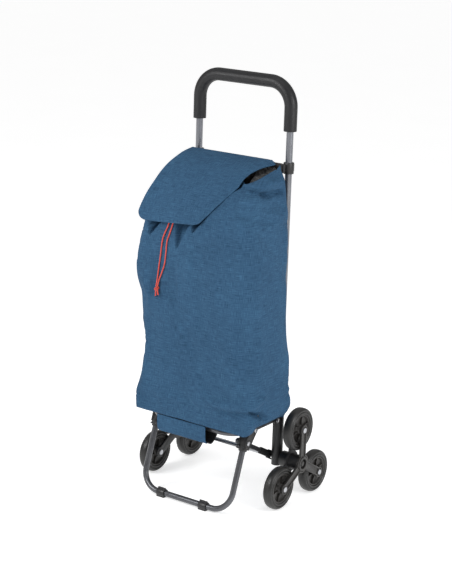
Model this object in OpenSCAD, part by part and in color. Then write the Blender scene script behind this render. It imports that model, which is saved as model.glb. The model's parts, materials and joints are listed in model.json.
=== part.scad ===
// Folding shopping trolley: a bent tube frame on two stair-climbing wheel stars,
// with a fold-up platform, a front leg with two bracing struts, and a cloth bag.
// X runs across, +Y to the rear, +Z up. The origin is on the floor, at the middle
// of the footprint. Distances named _fwd are measured forward from the uprights.

/* [Frame] */
// Height of the top of the handle grip above the floor
total_h = 1000; // [980:1:1010]
// Distance from the middle plane to each side tube's axis
side_x = 128; // [127:0.5:129]
// How far the uprights stand behind the middle of the footprint
upright_y = 39; // [38:0.5:40]
// Diameter of the uprights and handle
tube_d = 16; // [15:0.5:17]
// Centre-line radius of the handle's corners
handle_bend_r = 56; // [40:1:60]
// Diameter of the foam grip
grip_d = 30; // [26:1:32]
// Height of the foam grip's lower ends
grip_z = 877; // [860:1:890]
// Diameter of the plastic sleeve at the foot of each upright
sleeve_d = 26; // [25:0.5:27]
// Diameter of the main axle
axle_d = 10; // [9.5:0.5:10.5]

/* [Platform and leg] */
// Diameter of the platform and leg tubes
small_tube_d = 14; // [13:0.5:14]
// Wall thickness of every tube
tube_wall = 1.2; // [1:0.1:1.5]
// Height of the platform tube's axis
platform_z = 193; // [192:0.5:194]
// Platform hinge, forward of the uprights
platform_hinge_fwd = 22; // [22:0.5:23]
// Front bar of the platform, forward of the uprights
platform_front_fwd = 170; // [166:1:174]
// Hinge between platform and leg, forward of the uprights
leg_hinge_fwd = 110; // [109:0.5:111]
// Front strut pivot, forward of the uprights
strut_pivot_fwd = 137.5; // [137:0.5:138]
// Height of the front strut pivot
strut_pivot_z = 168; // [167.5:0.5:168.5]
// Lean of the front leg from upright
leg_lean = 19; // [18.5:0.5:19.5]
// Centre-line radius of the platform's and leg's corners
small_bend_r = 48; // [40:1:55]
// Height of the leg's bottom bar axis
leg_bar_z = 9.8; // [9.5:0.1:10]

/* [Wheels] */
// Outer diameter of a tyre
wheel_d = 102.5; // [100:0.5:104]
// Width of a tyre
wheel_w = 23; // [21:0.5:23]
// Distance from the main axle to each wheel bolt
star_r = 84; // [82:0.5:86]
// Distance from the middle plane to the middle of each wheel
wheel_x = 184.5; // [184:0.5:186]
// Diameter of a wheel bolt
bolt_d = 8; // [7:0.5:8]

/* [Bag] */
// Thickness of the bag's cloth, lining included
cloth_t = 2.5; // [2:0.5:3]
// Height of the underside of the bag
bag_z = 203; // [202.5:0.5:204]
// Rear face of the bag, forward of the uprights
bag_rear_fwd = 22; // [21:1:24]
// Diameter of the drawstring
cord_d = 3; // [2.5:0.5:3]

/* [Hidden] */
$fn = 64;

run_gap = 0.05;             // radial clearance of a turning fit
pin_d = 6;                  // hinge and strut pins
gap_x = 0.5;                // side clearance of a tube between two cheeks
cheek_t = 4;                // thickness of a hinge cheek

handle_z = total_h - grip_d / 2;
hub_z = star_r / 2 + wheel_d / 2;
sleeve_z0 = 75;
sleeve_z1 = 212;
upright_z0 = hub_z + axle_d / 2 + 6;
clamp_z = 780;
clamp_h = 25;
clamp_d = 24;

// Leg frame: origin at the front strut pivot, +Z up along the leg tube
leg_top = 10;
socket_top = 13;
socket_low = -20;
socket_r = 9.8;
hinge_dy = strut_pivot_fwd - leg_hinge_fwd;
hinge_dz = platform_z - strut_pivot_z;
hinge_ly = hinge_dy * cos(leg_lean) - hinge_dz * sin(leg_lean);
hinge_lz = hinge_dy * sin(leg_lean) + hinge_dz * cos(leg_lean);
leg_len = (strut_pivot_z - leg_bar_z) / cos(leg_lean);
tie_y = -6.5;               // tie rod between the two corner brackets
tie_z = -11;
tie_d = 5;
foot_x = [-67, 56.5];       // left and right foot clip

// Strut: from the front pivot down to the main axle, along its own +X
strut_x = 110.5;
strut_t = 5;
strut_depth = 11;
strut_end_t = 8;
strut_run = norm([strut_pivot_fwd, strut_pivot_z - hub_z]);
strut_fall = atan2(strut_pivot_z - hub_z, strut_pivot_fwd);
strut_cut = 118;            // where the flat tube ends inside the end piece
strut_end_0 = 104;          // where the end piece begins
slot_travel = 15;           // how far the axle slides in the slot while folding
slot_r = axle_d / 2 + 2.3;  // half the slot's width, with room for the free pivot

// Wheel stars, measured outward from the middle plane
tyre_in = wheel_x - wheel_w / 2;
tyre_out = wheel_x + wheel_w / 2;
plate_t = 4;
inner_plate_x = tyre_in - 2 - plate_t;
outer_plate_x = tyre_out + 1;
barrel_x = 145;
axle_reach = outer_plate_x + 0.3;
rim_r = 36;
star_angles = [90, 210, 330];  // top, front, rear, seen with the front to the left

// Bag outline: [height, left x, right x, front face fwd, rear face fwd, corner radius]
bag_rings = [[bag_z, -156, 160, 190, bag_rear_fwd + 4, 20],
             [bag_z + 30, -164, 168, 196, bag_rear_fwd, 18],
             [370, -151, 161, 191, bag_rear_fwd, 20],
             [560, -156, 155, 196, bag_rear_fwd, 22],
             [720, -148, 148, 184, bag_rear_fwd, 22],
             [812, -132, 130, 150, bag_rear_fwd, 20]];
board_x = 112;              // half the width of the board on the bag's floor
board_fwd = [36, 178];      // its rear and front edge
board_t = 3;
strap_x0 = -88;             // left and right edge of the strap
strap_x1 = 54;
// Side outline of the flap's outer face: [fwd, height]
flap_line = [[19, 809], [60, 803], [107, 785], [143, 761], [173, 730], [193, 700],
             [201, 680], [201, 664]];
flap_left = -134;
flap_right = 106;

// Drawstring routes: [x, fwd, height] from the eyelets down to the knot
left_route = [[-55, 187.7, 697], [-55.6, 190, 694], [-58, 192, 684], [-63, 194, 662],
              [-70, 196, 645], [-76, 198, 626], [-80, 199, 590], [-84, 199.5, 560],
              [-88, 199.5, 530], [-91, 199.5, 515]];
right_route = [[-45, 187.7, 697], [-45.6, 190, 694], [-47.5, 192, 684], [-52, 194, 662],
               [-58, 196, 642], [-63, 198, 624], [-65, 199, 594], [-68, 199.5, 570],
               [-76, 199.5, 547], [-83, 199.5, 530], [-87, 199.5, 515]];
knot = [-89, 199.5, 508.5];

// Places children by their distance forward of the uprights
module at_fwd(x, fwd, z) {
    translate([x, upright_y - fwd, z]) children();
}

// Cylinder along X, centred
module x_rod(len, r) {
    rotate([0, 90, 0]) cylinder(h = len, r = r, center = true);
}

// Solid U: two legs along +Z from z = start, corners of radius b, cross bar at z = l
module u_rod(w, l, b, r, start = 0) {
    for (s = [-1, 1]) {
        translate([s * w, 0, start]) cylinder(h = l - b - start, r = r);
        translate([s * (w - b), 0, l - b]) rotate([90, 0, 0]) rotate([0, 0, s > 0 ? 0 : 90])
            rotate_extrude(angle = 90) translate([b, 0]) circle(r = r);
    }
    translate([0, 0, l]) x_rod(2 * (w - b), r);
}

// Bent tube of diameter d, open at both ends
module u_tube(w, l, b, d) {
    difference() {
        u_rod(w, l, b, d / 2);
        u_rod(w, l, b, d / 2 - tube_wall, start = -1);
    }
}

// Turns the YZ plane's outline (drawn as X, Y) into a plate of thickness t, centred in X
module yz_plate(t) {
    rotate([90, 0, 90]) linear_extrude(height = t, center = true) children();
}

// ---------------------------------------------------------------- frame

module frame_tube() {
    color("silver") at_fwd(0, 0, upright_z0)
        u_tube(side_x, handle_z - upright_z0, handle_bend_r, tube_d);
}

module handle_grip() {
    color("dimgray") at_fwd(0, 0, grip_z) difference() {
        u_rod(side_x, handle_z - grip_z, handle_bend_r, grip_d / 2);
        u_rod(side_x, handle_z - grip_z, handle_bend_r, tube_d / 2, start = -1);
    }
}

// Sleeve with a socket for the upright, a bore for the axle and two hinge cheeks
module lower_sleeve(s) {
    cheek_x = small_tube_d / 2 + gap_x + cheek_t / 2;
    color("black") at_fwd(s * side_x, 0, 0) difference() {
        union() {
            translate([0, 0, sleeve_z0]) cylinder(h = sleeve_z1 - sleeve_z0, d = sleeve_d);
            for (c = [-1, 1]) translate([c * cheek_x, 0, platform_z]) yz_plate(cheek_t) {
                translate([-platform_hinge_fwd, 0]) circle(r = 9);
                translate([-platform_hinge_fwd, -8]) square([platform_hinge_fwd, 16]);
            }
        }
        translate([0, 0, upright_z0]) cylinder(h = sleeve_z1, d = tube_d);
        translate([0, 0, hub_z]) x_rod(sleeve_d + 2, axle_d / 2);
        translate([0, -platform_hinge_fwd, platform_z]) x_rod(sleeve_d + 10, pin_d / 2);
    }
}

module main_axle() {
    color("silver") at_fwd(0, 0, hub_z) x_rod(2 * axle_reach, axle_d / 2);
}

// Dome nuts on both ends of the main axle, sunk in the stars' hub rings
module axle_nuts() {
    color("gray") for (s = [-1, 1]) at_fwd(s * axle_reach, 0, hub_z)
        rotate([0, s * 90, 0]) {
            cylinder(h = 2.5, d = 17);
            translate([0, 0, 2.5]) cylinder(h = 2.5, r = 6);
        }
}

// Rivet along X with a head at both ends, its shank from -len/2 to len/2
module rivet(len, d, head_d, head_t) {
    x_rod(len, d / 2);
    for (s = [-1, 1]) translate([s * (len + head_t) / 2, 0, 0]) x_rod(head_t, head_d / 2);
}

module platform_pins() {
    span = small_tube_d + 2 * (gap_x + cheek_t);
    color("silver") for (s = [-1, 1])
        at_fwd(s * side_x, platform_hinge_fwd, platform_z) rivet(span, pin_d, 11, 2);
}

// Clamp ring on the upright, with a lug that carries the bag's hanger tab
module top_clamp(s) {
    color("black") at_fwd(s * side_x, 0, clamp_z) difference() {
        union() {
            cylinder(h = clamp_h, d = clamp_d);
            translate([-s * 6 - 5, 2 - bag_rear_fwd, 3]) cube([10, 16, clamp_h - 6]);
            translate([-4, 8, 4]) cube([8, 9, clamp_h - 8]);
        }
        translate([0, 0, -1]) cylinder(h = clamp_h + 2, d = tube_d);
        translate([0, 14, clamp_h / 2]) x_rod(12, 2);
    }
}

// Webbing tabs sewn to the back of the bag
module bag_hanger_tabs() {
    color("black") for (s = [-1, 1])
        at_fwd(s * (side_x - 14) - 12, bag_rear_fwd, clamp_z - 14) cube([24, 2, 40]);
}

// ------------------------------------------------------- platform and leg

// Platform U, with a hinge eye at the rear end of each side tube
module platform_tube() {
    reach = platform_front_fwd - platform_hinge_fwd;
    color("silver") at_fwd(0, platform_hinge_fwd, platform_z) difference() {
        union() {
            rotate([90, 0, 0]) u_tube(side_x, reach, small_bend_r, small_tube_d);
            for (s = [-1, 1]) translate([s * side_x, 0, 0]) x_rod(12, 6.5);
        }
        for (s = [-1, 1]) translate([s * side_x, 0, 0]) {
            x_rod(small_tube_d + 2, pin_d / 2 + run_gap);
            translate([0, platform_hinge_fwd - leg_hinge_fwd, 0])
                x_rod(small_tube_d + 2, pin_d / 2 + run_gap);
        }
    }
}

// Places children in the leg's frame
module on_leg(x = 0) {
    at_fwd(x, strut_pivot_fwd, strut_pivot_z) rotate([-leg_lean, 0, 0]) children();
}

module leg_tube() {
    color("silver") on_leg() difference() {
        translate([0, 0, leg_top]) rotate([0, 180, 0])
            u_tube(side_x, leg_len + leg_top, small_bend_r, small_tube_d);
        for (s = [-1, 1]) translate([s * side_x, 0, 0]) x_rod(small_tube_d + 2, pin_d / 2);
    }
}

// Socket for the leg tube, with two cheeks that straddle the platform tube
module corner_bracket(s) {
    cheek_x = small_tube_d / 2 + gap_x + cheek_t / 2;
    boss_x = side_x - strut_x - strut_t / 2 - 0.4;
    color("black") on_leg(s * side_x) difference() {
        union() {
            translate([0, 0, socket_low]) cylinder(h = socket_top - socket_low, r = socket_r);
            for (c = [-1, 1]) translate([c * cheek_x, 0, 0]) yz_plate(cheek_t) {
                translate([hinge_ly, hinge_lz]) circle(r = 9);
                polygon([[-8, socket_low + 4], [8, socket_low + 4], [hinge_ly + 8, hinge_lz - 3],
                         [hinge_ly - 7, hinge_lz + 4], [-8, socket_top]]);
            }
            translate([-s * boss_x / 2, 0, 0]) x_rod(boss_x, 8);
            tie_boss(s);
        }
        translate([0, 0, -40]) cylinder(h = 40 + leg_top, d = small_tube_d);
        x_rod(60, pin_d / 2);
        translate([0, hinge_ly, hinge_lz]) x_rod(40, pin_d / 2);
        tie_hole();
    }
}

// Tie rod seat, low on the inner front side of the bracket
module tie_boss(s) {
    translate([-s * 8, tie_y, tie_z]) x_rod(9, 5);
}

module tie_hole() {
    translate([0, tie_y, tie_z]) x_rod(60, tie_d / 2);
}

module leg_hinge_pins() {
    span = small_tube_d + 2 * (gap_x + cheek_t);
    color("silver") for (s = [-1, 1]) on_leg(s * side_x)
        translate([0, hinge_ly, hinge_lz]) rivet(span, pin_d, 11, 2);
}

// Pins through the leg sockets, on which the struts turn
module strut_pins() {
    inner = strut_x - strut_t / 2 - 0.4;
    outer = side_x + small_tube_d / 2 + gap_x + cheek_t;
    color("silver") for (s = [-1, 1])
        on_leg(s * (inner + outer) / 2) rivet(outer - inner, pin_d, 11, 2);
}

module tie_rod() {
    color("gray") on_leg() translate([0, tie_y, tie_z])
        x_rod(2 * (side_x - small_tube_d / 2 - 0.2), tie_d / 2);
}

// Clip-on foot round the leg's bottom bar, flat underneath
module foot_clip(x) {
    color("black") at_fwd(x, strut_pivot_fwd + leg_len * sin(leg_lean), leg_bar_z)
        difference() {
            union() {
                intersection() {
                    x_rod(22, 10);
                    translate([-15, -15, -leg_bar_z]) cube([30, 30, 30]);
                }
                translate([-11, -8, -leg_bar_z]) cube([22, 16, leg_bar_z]);
                translate([-11, -2, 8]) cube([22, 4, 4.5]);
            }
            x_rod(30, small_tube_d / 2);
        }
}

// --------------------------------------------------------------- struts

// Places children in the strut's frame: origin at the front pivot, +X to the axle
module on_strut(s) {
    at_fwd(s * strut_x, strut_pivot_fwd, strut_pivot_z) rotate([-strut_fall, 0, 0])
        children();
}

// Flat tube with an eye at the front pivot
module strut(s) {
    color("silver") on_strut(s) difference() {
        yz_plate(strut_t) {
            circle(r = 7.5);
            translate([0, -strut_depth / 2]) square([strut_cut, strut_depth]);
        }
        x_rod(strut_t + 2, pin_d / 2 + run_gap);
    }
}

// Moulded end piece that rides on the main axle in a long slot
module strut_end(s) {
    slot_0 = strut_run - 0.2;
    color("black") on_strut(s) difference() {
        union() {
            yz_plate(strut_end_t) {
                translate([strut_end_0, -8]) square([slot_0 - strut_end_0, 16]);
                translate([slot_0 - 14, -slot_r - 3])
                    square([slot_travel + 14, 2 * slot_r + 6]);
                translate([slot_0 + slot_travel, 0]) circle(r = slot_r + 3.2);
            }
        }
        yz_plate(strut_t) translate([strut_end_0 - 1, -strut_depth / 2])
            square([strut_cut - strut_end_0 + 1, strut_depth]);
        yz_plate(strut_end_t + 2) {
            translate([slot_0, 0]) circle(r = slot_r);
            translate([slot_0, -slot_r]) square([slot_travel, 2 * slot_r]);
            translate([slot_0 + slot_travel, 0]) circle(r = slot_r);
        }
    }
}

// ---------------------------------------------------------- wheel stars

// Three-armed outline in the YZ plane
module star_outline(hub, arm, end) {
    circle(r = hub);
    for (a = star_angles) rotate(a) {
        translate([0, -arm / 2]) square([star_r, arm]);
        translate([star_r, 0]) circle(r = end);
    }
}

// Places children on the main axle at distance x from the middle plane, on side s
module on_hub(s, x) {
    at_fwd(s * x, 0, hub_z) children();
}

module bolt_holes(r) {
    for (a = star_angles)
        translate([0, star_r * cos(a), star_r * sin(a)]) x_rod(40, r);
}

// Outer plate with a raised rim and a hub ring round the axle nut
module star_outer(s) {
    color("black") on_hub(s, outer_plate_x + plate_t / 2) difference() {
        union() {
            yz_plate(plate_t) star_outline(22, 20, 12.5);
            translate([s * 2.5, 0, 0]) yz_plate(3) difference() {
                star_outline(22, 20, 12.5);
                star_outline(19, 14, 9.5);
            }
            translate([s * 3, 0, 0]) x_rod(4, 17);
            for (a = star_angles)
                translate([s, star_r * cos(a), star_r * sin(a)]) x_rod(plate_t, 8);
        }
        bolt_holes(bolt_d / 2);
        x_rod(20, 12);
    }
}

// Inner plate and the long hub barrel that turns on the main axle
module star_inner(s) {
    barrel = outer_plate_x - barrel_x;
    color("black") on_hub(s, inner_plate_x + plate_t / 2) difference() {
        union() {
            yz_plate(plate_t) star_outline(26, 22, 13);
            translate([s * (barrel_x + barrel / 2 - inner_plate_x - plate_t / 2), 0, 0])
                x_rod(barrel, 19);
        }
        bolt_holes(bolt_d / 2);
        x_rod(120, axle_d / 2 + run_gap);
    }
}

module star_bolts(s) {
    x_in = inner_plate_x;
    x_out = outer_plate_x + plate_t + 1;
    color("silver") for (a = star_angles)
        on_hub(s, (x_in + x_out) / 2) translate([0, star_r * cos(a), star_r * sin(a)])
            rivet(x_out - x_in, bolt_d, 13, 3);
}

// Places children at wheel number i of the star on side s
module at_wheel(s, i) {
    a = star_angles[i];
    on_hub(s, wheel_x) translate([0, star_r * cos(a), star_r * sin(a)]) children();
}

// Points of a tyre's section, rounded at both shoulders: [radius, width]
function tyre_section(r, w, c) = concat(
    [[rim_r, -w + 2], [rim_r + 2, -w]],
    [for (a = [-90 : 15 : 0]) [r - c + c * cos(a), -w + c + c * sin(a)]],
    [for (a = [0 : 15 : 90]) [r - c + c * cos(a), w - c + c * sin(a)]],
    [[rim_r + 2, w], [rim_r, w - 2]]);

module tyre(s, i) {
    color("dimgray") at_wheel(s, i) rotate([0, 90, 0])
        rotate_extrude() polygon(tyre_section(wheel_d / 2, wheel_w / 2, 9));
}

// Dished rim with a long hub on the wheel bolt
module rim(s, i) {
    color("black") at_wheel(s, i) rotate([0, 90, 0]) difference() {
        union() {
            cylinder(h = wheel_w, r = 11, center = true);
            cylinder(h = 4, r = rim_r - 1, center = true);
            difference() {
                cylinder(h = wheel_w - 4, r = rim_r, center = true);
                cylinder(h = wheel_w, r = rim_r - 4, center = true);
            }
        }
        cylinder(h = wheel_w + 2, r = bolt_d / 2 + 2 * run_gap, center = true);
    }
}

// ------------------------------------------------------------------ bag

// Four corner posts of one outline ring, set in by t
module ring_posts(ring, t) {
    c = ring[5];
    for (x = [ring[1] + c, ring[2] - c], y = [ring[3] - c, ring[4] + c])
        at_fwd(x, y, ring[0]) cylinder(h = 0.1, r = c - t, $fn = 32);
}

// Solid through the outline rings, set in by t
module bag_solid(t) {
    for (i = [0 : len(bag_rings) - 2]) hull() {
        ring_posts(bag_rings[i], t);
        ring_posts(bag_rings[i + 1], t);
    }
}

// Side outline that keeps the bag's rim under the flap
module under_flap(drop) {
    low = [for (p = flap_line) [-p[0] + drop, p[1] - drop]];
    at_fwd(0, 0, 0) rotate([90, 0, 90]) linear_extrude(height = 400, center = true)
        polygon(concat([[0, 0], [0, flap_line[0][1] - drop]], low, [[-260, 640], [-260, 0]]));
}

module bag_body() {
    color("steelblue") intersection() {
        difference() {
            bag_solid(0);
            difference() {
                bag_solid(cloth_t);
                translate([-200, -300, 0]) cube([400, 600, bag_z + cloth_t]);
            }
        }
        under_flap(7);
    }
}

// Stiffening board on the floor of the bag
module bag_base_board() {
    color("dimgray") at_fwd(-board_x, board_fwd[1], bag_z + cloth_t + 0.3)
        cube([2 * board_x, board_fwd[1] - board_fwd[0], board_t]);
}

// One-piece lid, hinged at the bag's rear top edge
module bag_flap() {
    outer = [for (p = flap_line) [-p[0], p[1]]];
    inner = [for (i = [len(flap_line) - 1 : -1 : 0])
             [-flap_line[i][0] + (i == 0 ? 0 : 1.8), flap_line[i][1] - (i > 5 ? 0 : 2.4)]];
    color("steelblue") difference() {
        at_fwd((flap_left + flap_right) / 2, 0, 0) rotate([90, 0, 90])
            linear_extrude(height = flap_right - flap_left, center = true)
            polygon(concat(outer, inner));
        // the right edge runs inward towards the front
        at_fwd(flap_right, 20, 600) rotate([0, 0, -7]) translate([0, -300, 0])
            cube([80, 300, 300]);
    }
}

// Sheet through a side outline: [fwd, height, rearward and upward offset of its back]
module strap_sheet(line, x0, x1) {
    outer = [for (p = line) [-p[0], p[1]]];
    inner = [for (i = [len(line) - 1 : -1 : 0]) [-line[i][0] + line[i][2], line[i][1] + line[i][3]]];
    at_fwd((x0 + x1) / 2, 0, 0) rotate([90, 0, 90])
        linear_extrude(height = x1 - x0, center = true) polygon(concat(outer, inner));
}

// Cloth loop under the platform's front bar, joined behind it by a touch fastener
module strap_loop() {
    color("steelblue") strap_sheet([[190, 201, 2, 0], [189, 170, 2, 0], [184, 160, 1.4, 2],
                                    [176, 157, 0, 2], [166, 160, -0.6, 2]],
                                   strap_x0, strap_x1);
}

module strap_fastener() {
    color("black") strap_sheet([[165.5, 160.4, 0, 2.4], [150, 175, -1.6, 1.6],
                                [144, 200, -2, 0]], strap_x0, strap_x1 + 3);
}

// ----------------------------------------------------------- drawstring

// Ring-shaped eyelets in the front of the bag, under the flap
module drawstring_eyelets() {
    color("gray") for (route = [left_route, right_route])
        at_fwd(route[0][0], 186.5, route[0][2]) rotate([90, 0, 0])
            difference() {
                cylinder(h = 1, r = 4.2);
                translate([0, 0, -1]) cylinder(h = 3, r = 2.4);
            }
}

// Unit direction of a route at point i
function unit(v) = v / norm(v);
function heading(p, i) =
    i == 0 ? [0, -1, 0]
    : i == len(p) - 1 ? [0, 0, -1]
    : unit(unit(p[i + 1] - p[i]) + unit(p[i] - p[i - 1]));

// Ring of 8 points round point i of a route
function ring_at(p, i, r) =
    let (t = heading(p, i), u = unit(cross(t, [1, 0, 0])), v = cross(t, u))
    [for (k = [0 : 7]) p[i] + r * (cos(45 * k) * u + sin(45 * k) * v)];

// Smooth route: n points between each pair, by a Catmull-Rom curve
function spline(a, b, c, d, t) =
    0.5 * (2 * b + (c - a) * t + (2 * a - 5 * b + 4 * c - d) * t * t
           + (3 * b - a - 3 * c + d) * t * t * t);
function smooth(p, n) = concat(
    [for (i = [0 : len(p) - 2], k = [0 : n - 1])
        spline(p[max(i - 1, 0)], p[i], p[i + 1], p[min(i + 2, len(p) - 1)], k / n)],
    [p[len(p) - 1]]);

module cord(route) {
    p = smooth([for (q = route) [q[0], -q[1], q[2]]], 3);
    n = len(p);
    pts = [for (i = [0 : n - 1]) each ring_at(p, i, cord_d / 2)];
    sides = [for (i = [0 : n - 2], k = [0 : 7])
             [8 * i + 8 + k, 8 * i + 8 + (k + 1) % 8, 8 * i + (k + 1) % 8, 8 * i + k]];
    ends = [[for (k = [0 : 7]) k], [for (k = [7 : -1 : 0]) 8 * (n - 1) + k]];
    color("tomato") translate([0, upright_y, 0]) polyhedron(pts, concat(sides, ends));
}

// Overhand knot with two short tails
module drawstring_knot() {
    color("tomato") at_fwd(knot[0], knot[1], knot[2]) {
        intersection() {
            sphere(r = 7.2);
            translate([-10, -5, -6.5]) cube([20, 9.5, 13]);
        }
        for (s = [-1, 1]) translate([s * 2.5, 0, -5]) rotate([180, s * 14, 0])
            cylinder(h = 13, r = cord_d / 2);
    }
}

frame_tube();
handle_grip();
lower_sleeve(-1);  // lower_sleeve_left
lower_sleeve(1);  // lower_sleeve_right
main_axle();
axle_nuts();
platform_pins();
top_clamp(-1);  // top_clamp_left
top_clamp(1);  // top_clamp_right
bag_hanger_tabs();
platform_tube();
leg_tube();
corner_bracket(-1);  // corner_bracket_left
corner_bracket(1);  // corner_bracket_right
leg_hinge_pins();
strut_pins();
tie_rod();
foot_clip(foot_x[0]);  // foot_clip_left
foot_clip(foot_x[1]);  // foot_clip_right
strut(-1);  // strut_left
strut(1);  // strut_right
strut_end(-1);  // strut_end_left
strut_end(1);  // strut_end_right
star_outer(-1);  // star_outer_left
star_inner(-1);  // star_inner_left
star_bolts(-1);  // star_bolts_left
star_outer(1);  // star_outer_right
star_inner(1);  // star_inner_right
star_bolts(1);  // star_bolts_right
tyre(-1, 0);  // tyre_left_top
tyre(-1, 1);  // tyre_left_front
tyre(-1, 2);  // tyre_left_rear
rim(-1, 0);  // rim_left_top
rim(-1, 1);  // rim_left_front
rim(-1, 2);  // rim_left_rear
tyre(1, 0);  // tyre_right_top
tyre(1, 1);  // tyre_right_front
tyre(1, 2);  // tyre_right_rear
rim(1, 0);  // rim_right_top
rim(1, 1);  // rim_right_front
rim(1, 2);  // rim_right_rear
bag_body();
bag_base_board();
bag_flap();
strap_loop();
strap_fastener();
drawstring_eyelets();
cord(left_route);  // drawstring_left
cord(right_route);  // drawstring_right
drawstring_knot();
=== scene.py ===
"""Looks of the folding shopping trolley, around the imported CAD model.

Lengths in this script are millimetres, and places are given as (x, fwd, z): fwd is the
distance in front of the uprights, as in the CAD source. at() turns them into metres.
"""
import bisect
import json
import math
import random

import bmesh
import bpy
import numpy as np
from mathutils import Matrix, Vector, noise


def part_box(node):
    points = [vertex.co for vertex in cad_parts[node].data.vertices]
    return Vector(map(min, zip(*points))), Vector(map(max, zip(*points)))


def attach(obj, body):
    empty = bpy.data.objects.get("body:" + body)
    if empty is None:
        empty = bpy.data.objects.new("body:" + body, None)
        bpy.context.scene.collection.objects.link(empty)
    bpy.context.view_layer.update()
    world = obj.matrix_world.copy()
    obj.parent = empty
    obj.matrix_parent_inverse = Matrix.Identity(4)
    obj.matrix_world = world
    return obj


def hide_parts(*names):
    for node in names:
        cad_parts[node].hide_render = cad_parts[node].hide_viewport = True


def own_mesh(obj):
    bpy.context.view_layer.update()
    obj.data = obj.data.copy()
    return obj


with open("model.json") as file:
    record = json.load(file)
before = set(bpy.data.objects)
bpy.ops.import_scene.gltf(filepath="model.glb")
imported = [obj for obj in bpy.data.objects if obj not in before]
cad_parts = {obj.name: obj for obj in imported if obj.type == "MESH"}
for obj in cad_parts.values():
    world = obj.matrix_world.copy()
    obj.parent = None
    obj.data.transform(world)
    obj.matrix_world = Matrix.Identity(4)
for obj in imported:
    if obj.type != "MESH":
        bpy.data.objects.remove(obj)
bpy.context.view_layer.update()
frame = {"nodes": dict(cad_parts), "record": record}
NODES = frame["nodes"]
SCENE = bpy.context.scene

MM = 0.001
UPRIGHT_Y = (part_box("frame_tube")[0][1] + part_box("frame_tube")[1][1]) / 2


def at(x, fwd, z):
    """A place in the row frame, in metres."""
    return Vector((x * MM, UPRIGHT_Y - fwd * MM, z * MM))


def place_of(p):
    """(x, fwd, z) of a point in metres, as at() takes them."""
    return p.x / MM, (UPRIGHT_Y - p.y) / MM, p.z / MM


# ------------------------------------------------------------------ camera

def make_camera(place, azimuth, elevation, roll, lens):
    """A camera at a place in metres. Azimuth 0 looks along +Y, and angles are in degrees."""
    a, e, r = (math.radians(v) for v in (azimuth, elevation, roll))
    back = Vector((math.sin(a) * math.cos(e), -math.cos(a) * math.cos(e), math.sin(e)))
    side = Vector((math.cos(a), math.sin(a), 0))
    up = back.cross(side)
    side, up = math.cos(r) * side + math.sin(r) * up, math.cos(r) * up - math.sin(r) * side
    data = bpy.data.cameras.new("camera")
    data.lens = lens
    data.sensor_width = 36
    data.clip_end = 50
    camera = bpy.data.objects.new("camera", data)
    camera.matrix_world = Matrix((
        (side.x, up.x, back.x, place[0]), (side.y, up.y, back.y, place[1]),
        (side.z, up.z, back.z, place[2]), (0, 0, 0, 1)))
    SCENE.collection.objects.link(camera)
    SCENE.camera = camera


make_camera(place=(2.1391, -2.9748, 1.5014), azimuth=35.825, elevation=15.517, roll=1.772,
            lens=99.92)


# ------------------------------------------------------------- mesh helpers

def add_mesh(name, points, faces, material=None, smooth=True):
    """A mesh object from points in metres, with its faces turned outward."""
    mesh = bpy.data.meshes.new(name)
    mesh.from_pydata([tuple(p) for p in points], [], faces)
    piece = bpy.data.objects.new(name, mesh)
    SCENE.collection.objects.link(piece)
    work = bmesh.new()
    work.from_mesh(mesh)
    bmesh.ops.recalc_face_normals(work, faces=work.faces)
    work.to_mesh(mesh)
    work.free()
    mesh.polygons.foreach_set("use_smooth", [smooth] * len(mesh.polygons))
    if material:
        mesh.materials.append(material)
    return piece


def modified(piece, kind, **values):
    """Adds a modifier with these values and applies it."""
    modifier = piece.modifiers.new(kind.lower(), kind)
    for key, value in values.items():
        setattr(modifier, key, value)
    bpy.context.view_layer.update()
    shaped = bpy.data.meshes.new_from_object(
        piece.evaluated_get(bpy.context.evaluated_depsgraph_get()))
    piece.modifiers.clear()
    old = piece.data
    piece.data = shaped
    bpy.data.meshes.remove(old)
    shaped.name = piece.name
    return piece


def smooth_line(points, steps):
    """A Catmull-Rom curve through points, with steps pieces between each pair."""
    p = [np.array(q, float) for q in points]
    line = []
    for i in range(len(p) - 1):
        a, b, c, d = p[max(i - 1, 0)], p[i], p[i + 1], p[min(i + 2, len(p) - 1)]
        for k in range(steps):
            t = k / steps
            line.append(0.5 * (2 * b + (c - a) * t + (2 * a - 5 * b + 4 * c - d) * t ** 2
                               + (3 * b - a - 3 * c + d) * t ** 3))
    return line + [p[-1]]


def sweep(name, line, radius, sides, material, closed=False):
    """A round tube along a line of points in metres. radius may be a function of 0..1."""
    line = [Vector(p) for p in line]
    n = len(line)
    points, faces = [], []
    side = None
    for i, p in enumerate(line):
        before = line[(i - 1) % n] if closed or i else p
        after = line[(i + 1) % n] if closed or i < n - 1 else p
        ahead = (after - before).normalized()
        if side is None:
            side = ahead.orthogonal().normalized()
        side = (side - ahead * side.dot(ahead)).normalized()
        other = ahead.cross(side)
        r = radius(i / (n - 1)) if callable(radius) else radius
        for k in range(sides):
            a = 2 * math.pi * k / sides
            points.append(p + r * (math.cos(a) * side + math.sin(a) * other))
    rows = n if closed else n - 1
    for i in range(rows):
        j = (i + 1) % n
        for k in range(sides):
            m = (k + 1) % sides
            faces.append((i * sides + k, i * sides + m, j * sides + m, j * sides + k))
    if not closed:
        faces.append(tuple(range(sides)))
        faces.append(tuple((n - 1) * sides + k for k in range(sides)))
    return add_mesh(name, points, faces, material)


# --------------------------------------------------------------- materials

def srgb(r, g, b):
    """A colour given as 0..255, made linear."""
    lin = [c / 12.92 if c <= 0.04045 else ((c + 0.055) / 1.055) ** 2.4
           for c in (r / 255, g / 255, b / 255)]
    return (*lin, 1)


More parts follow.
